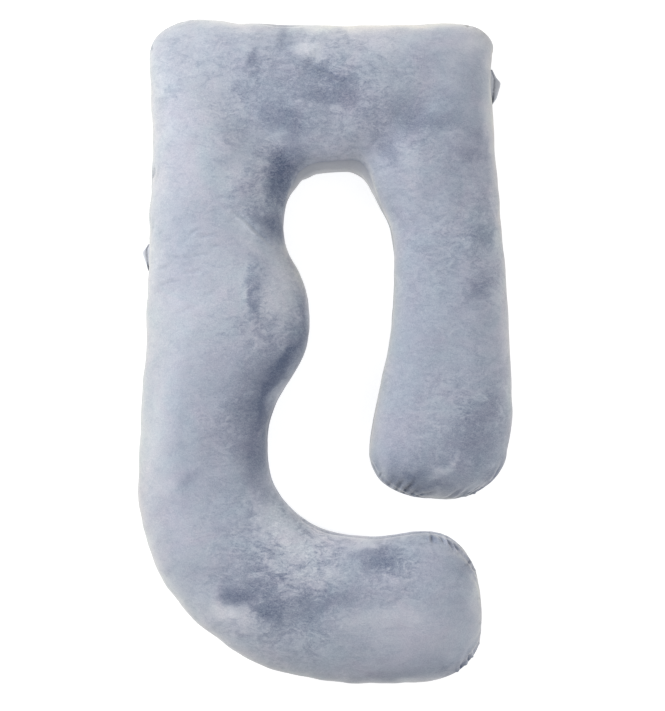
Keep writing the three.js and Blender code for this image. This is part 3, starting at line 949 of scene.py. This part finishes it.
def sew_and_crush(piece, cover):
    """Sinks the seam, and adds the lumps, gathers and wrinkles and the way the pile lies."""
    mesh = piece.data
    points = points_of(mesh)
    ends = edges_of(mesh)
    on_seam = seam_points(mesh)

    # the outline stays smooth: a gather is deepest where the cloth turns up
    facing = 0.04 + 0.96 * ramp(np.abs(smoothed(normals_of(mesh), ends, 2)[:, 2]), 0.24, 0.58)
    close_rows(points, ends, on_seam)
    set_points(mesh, points)
    normals = normals_of(mesh)
    gap = distance_to(points, points[on_seam])

    lying = ramp(points[:, 2], 0.0, 0.02)
    lumps = (noise_at(points, 0.11, 2) + noise_at(points, 0.035, 2) * 0.25) * cover.lump_height
    archway = ramp(points[:, 1], 0.30, 0.36) * ramp(-np.abs(points[:, 0] - ARCH_MIDDLE), -0.17, -0.11)
    gathers, painted_gather_shading = fold_height(points, GATHERS, True)
    wrinkles, parted = fold_height(points, WRINKLES, False)
    upper = ramp(points[:, 2], 0.05, 0.09)
    facing *= 0.1 + 0.9 * ramp(gap, 0.003, 0.014)
    sunk = gathers * facing * (1.0 - 0.5 * ramp(-points[:, 2], -0.07, -0.03)) + wrinkles * upper * facing
    # painted fold shading, from the wrinkles on top and the gathers by the seam
    parted = parted * upper + painted_gather_shading * ramp(points[:, 2], 0.04, 0.08)
    beside = gap / cover.groove_width
    groove = np.exp(-beside ** 2) - 0.3 * np.exp(-((beside - 2.4) / 1.3) ** 2)
    sunk += cover.groove_depth * groove * (1.0 - 0.9 * archway)
    points = points + normals * ((lumps - sunk) * lying)[:, None]
    points[:, 2] = np.maximum(points[:, 2], 0.0)
    set_points(mesh, points)

    # the pile's brushed patches together with painted light and painted shade
    nap, crushed = brushed(points)
    set_values(mesh, "nap", nap)
    set_values(mesh, "crushed", crushed)
    set_values(mesh, "parted", parted)
    # where painted shade darkens the seam's groove
    set_values(mesh, "seam", np.exp(-(gap / (3.0 * MM)) ** 2))
    # painted rim light, kept at each point for the plush's colour
    set_values(mesh, "sideways", sides(points, normals))
    # where painted light lightens the lower panel under the arch, less towards the floor
    set_values(mesh, "archway", archway * (0.3 + 0.7 * ramp(points[:, 2], 0.0, 0.08)))


def make_cover():
    cover = bpy.context.scene.pillow_cover
    piece = new_piece("pillow_cover", cover_cloth(), plush_finish(cover))
    keep_size(piece)
    subdivide(piece)
    stuff(piece, cover)
    make_finer(piece)
    subdivide(piece)
    sew_and_crush(piece, cover)
    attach(piece, "root")
    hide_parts("pillow_body")


# ---------------------------------------------------------------- tabs

# One tab: its node, the side it stands out on (1 is right), its root, how far its corner stands out and its
# two ends, in plan and in millimetres; then the heights of its corner and of its heel as shares of its own.
Tab = namedtuple("Tab", "node side root outstand bottom top corner heel")
TABS = [
    Tab("tab_right", 1, 366.0, 20.5, 544, 622, 0.62, 0.19),
    Tab("tab_left", -1, 389.5, 14.5, 178, 237, 0.70, 0.37),
]
TAB_STEPS = 16
TAB_BEHIND = 16.0

# Across a tab, from inside the pillow over the upper layer to the fold and back under it: the part of the
# way, in each of the tab's stretches, and the height in millimetres.
TabPoint = namedtuple("TabPoint", "behind out rise")
TAB_PROFILE = [
    TabPoint(1.0, 0.0, 7.0), TabPoint(0.35, 0.0, 5.6), TabPoint(0.0, 0.0, 1.6), TabPoint(0.0, 0.3, 3.3),
    TabPoint(0.0, 0.65, 3.2), TabPoint(0.0, 0.9, 1.9), TabPoint(0.0, 1.0, 0.0), TabPoint(0.0, 0.9, -1.9),
    TabPoint(0.0, 0.65, -3.0), TabPoint(0.0, 0.3, -3.0), TabPoint(0.0, 0.0, -2.4), TabPoint(0.35, 0.0, -5.0),
    TabPoint(1.0, 0.0, -6.0),
]


def tab_place(tab, point, up):
    """Where a point of the tab's section lies at one height, as a share, and how light its pile is there,
    with painted shade in the crease and the mouth and painted light behind the crease.
    """
    edge = tab.outstand * float(np.interp(
        up, [0.0, tab.heel, tab.corner - 0.07, tab.corner, tab.corner + 0.05, tab.corner + 0.13, 1.0],
        [0.05, 0.56, 0.96, 1.0, 0.88, 0.55, 0.05]))
    crease = min(tab.outstand * (0.12 + 0.28 * up), 0.6 * edge)
    out = crease + (edge - crease) * point.out - TAB_BEHIND * point.behind
    mouth = max(0.0, 1.0 - up / 0.35)
    rise = point.rise * (0.9 + 0.5 * mouth)
    in_crease = point.out == 0.0 and point.behind == 0.0
    if in_crease and point.rise > 0.0:
        rise -= 4.0 * mouth
    # paler towards the fold, with painted shade in the crease and in the mouth at the lower end
    shade = 0.7 * point.out ** 3 - (0.6 if in_crease else 0.0) - 0.9 * mouth * (1.0 - point.out)
    # painted light behind the crease, as pale as the cover's rim beside it
    shade += 0.3 * min(1.0, 3.0 * point.behind) * (1.0 - mouth)
    rise += noise.noise(Vector((point.out * 1.5, up * 3.0, tab.root))) * 1.6 * point.out
    height = tab.bottom + (tab.top - tab.bottom) * up
    place = Vector((tab.side * (tab.root + out), height, SEAM_HEIGHT / MM + rise)) * MM
    return place, shade


def make_tab(tab, tabs):
    """A strip of the cover's cloth folded double and caught in the seam, with the fold outwards."""
    bm = bmesh.new()
    lightness = bm.verts.layers.float.new("shade")
    row = [bm.verts.new() for _ in TAB_PROFILE]
    edges = [bm.edges.new(pair) for pair in zip(row, row[1:])]
    for step in range(TAB_STEPS + 1):
        for vert, point in zip(row, TAB_PROFILE):
            vert.co, vert[lightness] = tab_place(tab, point, step / TAB_STEPS)
        if step < TAB_STEPS:
            made = bmesh.ops.extrude_edge_only(bm, edges=edges)["geom"]
            follows = {vert: next(e.other_vert(vert) for e in vert.link_edges if e.other_vert(vert) not in row
                                  and e.other_vert(vert) in made) for vert in row}
            row = [follows[vert] for vert in row]
            edges = [bm.edges.get(pair) for pair in zip(row, row[1:])]
    bmesh.ops.recalc_face_normals(bm, faces=bm.faces)
    piece = new_piece(tab.node + "_cloth", bm, bpy.data.materials["tab_plush"])
    layers = piece.modifiers.new("Layer", "SOLIDIFY")
    layers.thickness = tabs.cloth
    layers.offset = 0.0
    subdivide(piece, 2)
    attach(piece, "root")
    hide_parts(tab.node)


# ---------------------------------------------------------------- studio


def aim(thing, target):
    """Turns a light or camera so that it looks at a point."""
    thing.rotation_euler = (Vector(target) - thing.location).to_track_quat("-Z", "Y").to_euler()


def add_light(name, place, target, size, power):
    """Adds a square lamp that faces a point."""
    lamp = bpy.data.lights.new(name, "AREA")
    lamp.shape = "SQUARE"
    lamp.size = size
    lamp.energy = power
    light = bpy.data.objects.new(name, lamp)
    bpy.context.scene.collection.objects.link(light)
    light.location = place
    aim(light, target)


def make_studio():
    studio = bpy.context.scene.pillow_studio
    scene = bpy.context.scene
    scene.view_settings.view_transform = "Standard"

    bm = bmesh.new()
    bmesh.ops.create_grid(bm, x_segments=1, y_segments=1, size=FLOOR_REACH)
    bmesh.ops.translate(bm, verts=bm.verts, vec=(0.0, 0.0, -0.5 * MM))
    floor = new_piece("floor", bm, plain_finish("pale_floor", tuple(studio.floor_colour), studio.floor_glow))

    add_light("key", (-2.9, 1.5, 1.5), (0.0, 0.0, 0.1), 1.8, studio.key_power)
    add_light("fill", (0.5, -0.2, 3.4), (0.0, 0.0, 0.0), 3.2, studio.fill_power)
    add_light("side", (2.9, -0.6, 0.9), (0.1, 0.0, 0.1), 1.4, studio.side_power)

    # even light from all round, which the camera itself sees as white
    world = bpy.data.worlds.new("studio")
    world.use_nodes = True
    sky = world.node_tree.nodes["Background"]
    sky.inputs["Color"].default_value = (1.0, 1.0, 1.0, 1.0)
    seen = world.node_tree.nodes.new("ShaderNodeLightPath")
    strength = world.node_tree.nodes.new("ShaderNodeMath")
    strength.operation = "MAXIMUM"
    strength.inputs[1].default_value = studio.sky_strength
    world.node_tree.links.new(seen.outputs["Is Camera Ray"], strength.inputs[0])
    world.node_tree.links.new(strength.outputs[0], sky.inputs["Strength"])
    scene.world = world

    lens = bpy.data.cameras.new("camera")
    lens.sensor_width = 36.0
    lens.lens = 36.0 * (studio.camera_height - SEAM_HEIGHT) / studio.view_length
    camera = bpy.data.objects.new("camera", lens)
    camera.location = (*studio.view_centre, studio.camera_height)
    scene.collection.objects.link(camera)
    scene.camera = camera


# ---------------------------------------------------------------- add-on


class PILLOW_OT_cover(bpy.types.Operator):
    """Make the stuffed plush cover"""

    bl_idname = "pillow.make_cover"
    bl_label = "Stuffed cover"

    def execute(self, context):
        make_cover()
        return {"FINISHED"}


class PILLOW_OT_tabs(bpy.types.Operator):
    """Make the two cloth tabs in the outer seam"""

    bl_idname = "pillow.make_tabs"
    bl_label = "Cloth tabs"

    def execute(self, context):
        tabs = context.scene.pillow_tabs
        tab_finish(tabs)
        for tab in TABS:
            make_tab(tab, tabs)
        return {"FINISHED"}


class PILLOW_OT_studio(bpy.types.Operator):
    """Make the floor, the lights and the camera"""

    bl_idname = "pillow.make_studio"
    bl_label = "Studio"

    def execute(self, context):
        make_studio()
        return {"FINISHED"}


class PILLOW_PT_sidebar(bpy.types.Panel):
    """The pillow's sizes, colours and steps."""

    bl_idname = "PILLOW_PT_sidebar"
    bl_label = "Body pillow"
    bl_space_type = "VIEW_3D"
    bl_region_type = "UI"
    bl_category = "Pillow"

    def draw(self, context):
        scene = context.scene
        for group, step in (
            (scene.pillow_studio, PILLOW_OT_studio),
            (scene.pillow_cover, PILLOW_OT_cover),
            (scene.pillow_tabs, PILLOW_OT_tabs),
        ):
            box = self.layout.box()
            for setting in group.bl_rna.properties:
                if setting.identifier not in ("rna_type", "name"):
                    box.prop(group, setting.identifier)
            box.operator(step.bl_idname)


SETTINGS = {"pillow_cover": CoverSettings, "pillow_tabs": TabSettings, "pillow_studio": StudioSettings}
CLASSES = (*SETTINGS.values(), PILLOW_OT_cover, PILLOW_OT_tabs, PILLOW_OT_studio, PILLOW_PT_sidebar)


def register():
    for one in CLASSES:
        bpy.utils.register_class(one)
    for name, one in SETTINGS.items():
        setattr(bpy.types.Scene, name, bpy.props.PointerProperty(type=one))


def unregister():
    for name in SETTINGS:
        delattr(bpy.types.Scene, name)
    for one in reversed(CLASSES):
        bpy.utils.unregister_class(one)


def main():
    register()
    bpy.ops.pillow.make_studio()
    bpy.ops.pillow.make_cover()
    bpy.ops.pillow.make_tabs()


if __name__ == "__main__":
    main()
